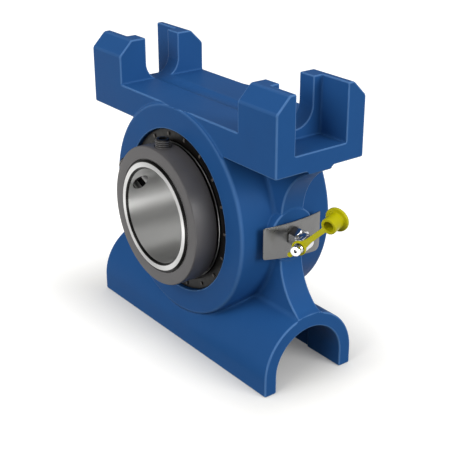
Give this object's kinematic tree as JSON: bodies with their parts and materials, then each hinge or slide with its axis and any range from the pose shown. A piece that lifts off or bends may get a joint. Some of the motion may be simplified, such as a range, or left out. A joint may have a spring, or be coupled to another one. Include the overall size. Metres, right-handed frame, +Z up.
{
  "type": "take-up bearing unit",
  "caption": "Cast take-up bearing unit: slotted beam over a barrel with a spherical roller bearing and locking collar, standing on a tunnel arch, with grease fitting and cap.",
  "frame": {"origin": "middle of the whole unit's outline on the floor, under the feet of the arch", "axes": "+X along the take-up travel, towards the grease fitting; +Y along the shaft, away from the locking collar; +Z up, from the feet to the slotted beam"},
  "size_m": [0.2131, 0.0906, 0.1915],
  "materials": {
    "blue_paint": "semi-gloss blue enamel over a smooth iron casting",
    "ground_steel": "ground bearing steel, fine turned lines in the bore",
    "bearing_steel": "hardened and ground",
    "blackened_steel": "satin blackened steel",
    "black_screw": "black oxide",
    "cage_steel": "pressed sheet steel",
    "seal_rubber": "moulded nitrile rubber",
    "spring_steel": "plain spring steel",
    "plated_steel": "bright plated",
    "stainless_sheet": "plain matt sheet, no marks",
    "yellow_plastic": "moulded polyethylene"
  },
  "bodies": {
    "housing": {"housing": "blue_paint", "outer_ring": "bearing_steel", "snap_ring": "spring_steel", "front_seal": "seal_rubber", "rear_seal": "seal_rubber", "tag_plate": "stainless_sheet", "grease_nipple": "plated_steel", "nipple_spring": "spring_steel"},
    "aligning_ring": {"guide_ring": "cage_steel"},
    "shaft_set": {"inner_ring": "ground_steel", "collar": "blackened_steel", "front_flinger": "spring_steel", "rear_flinger": "spring_steel"},
    "front_row": {"cage_front": "cage_steel", "roller_front_01": "bearing_steel", "roller_front_02": "bearing_steel", "roller_front_03": "bearing_steel", "roller_front_04": "bearing_steel", "roller_front_05": "bearing_steel", "roller_front_06": "bearing_steel", "roller_front_07": "bearing_steel", "roller_front_08": "bearing_steel", "roller_front_09": "bearing_steel", "roller_front_10": "bearing_steel", "roller_front_11": "bearing_steel", "roller_front_12": "bearing_steel", "roller_front_13": "bearing_steel", "roller_front_14": "bearing_steel", "roller_front_15": "bearing_steel", "roller_front_16": "bearing_steel", "roller_front_17": "bearing_steel", "roller_front_18": "bearing_steel"},
    "rear_row": {"cage_rear": "cage_steel", "roller_rear_01": "bearing_steel", "roller_rear_02": "bearing_steel", "roller_rear_03": "bearing_steel", "roller_rear_04": "bearing_steel", "roller_rear_05": "bearing_steel", "roller_rear_06": "bearing_steel", "roller_rear_07": "bearing_steel", "roller_rear_08": "bearing_steel", "roller_rear_09": "bearing_steel", "roller_rear_10": "bearing_steel", "roller_rear_11": "bearing_steel", "roller_rear_12": "bearing_steel", "roller_rear_13": "bearing_steel", "roller_rear_14": "bearing_steel", "roller_rear_15": "bearing_steel", "roller_rear_16": "bearing_steel", "roller_rear_17": "bearing_steel", "roller_rear_18": "bearing_steel"},
    "top_screw": {"set_screw_top": "black_screw"},
    "side_screw": {"set_screw_side": "black_screw"},
    "dust_cap": {"dust_cap": "yellow_plastic"},
    "nipple_ball": {"nipple_ball": "bearing_steel"}
  },
  "joints": [
    {"name": "self_align", "type": "hinge", "parent": "housing", "child": "aligning_ring", "pos_m": [-0.0083, 0.0073, 0.0941], "axis": [0, 0, 1], "range_deg": [-1, 1]},
    {"name": "shaft_spin", "type": "hinge", "parent": "aligning_ring", "child": "shaft_set", "pos_m": [-0.0083, 0.0073, 0.0941], "axis": [0, 1, 0], "continuous": true},
    {"name": "front_row_orbit", "type": "hinge", "parent": "aligning_ring", "child": "front_row", "pos_m": [-0.0083, 0.0073, 0.0941], "axis": [0, 1, 0], "continuous": true},
    {"name": "rear_row_orbit", "type": "hinge", "parent": "aligning_ring", "child": "rear_row", "pos_m": [-0.0083, 0.0073, 0.0941], "axis": [0, 1, 0], "continuous": true},
    {"name": "top_screw_drive", "type": "slide", "parent": "shaft_set", "child": "top_screw", "axis": [0, 0, -1], "range_m": [0, 0.0036]},
    {"name": "side_screw_drive", "type": "slide", "parent": "shaft_set", "child": "side_screw", "axis": [0.9063, 0, -0.4226], "range_m": [0, 0.0049]},
    {"name": "cap_swivel", "type": "hinge", "parent": "housing", "child": "dust_cap", "pos_m": [0.08408, -0.0024, 0.0941], "axis": [0.4226, -0.9063, 0], "range_deg": [-125, 45]},
    {"name": "ball_lift", "type": "slide", "parent": "housing", "child": "nipple_ball", "axis": [-0.4226, 0.9063, 0], "range_m": [0, 0.0012], "stiffness_N_per_m": 400, "springref_m": -0.0004, "deforming": ["nipple_spring"]}
  ],
  "couplings": [
    {"joint": "front_row_orbit", "follows": "shaft_spin", "ratio": 0.4244},
    {"joint": "rear_row_orbit", "follows": "shaft_spin", "ratio": 0.4244}
  ]
}
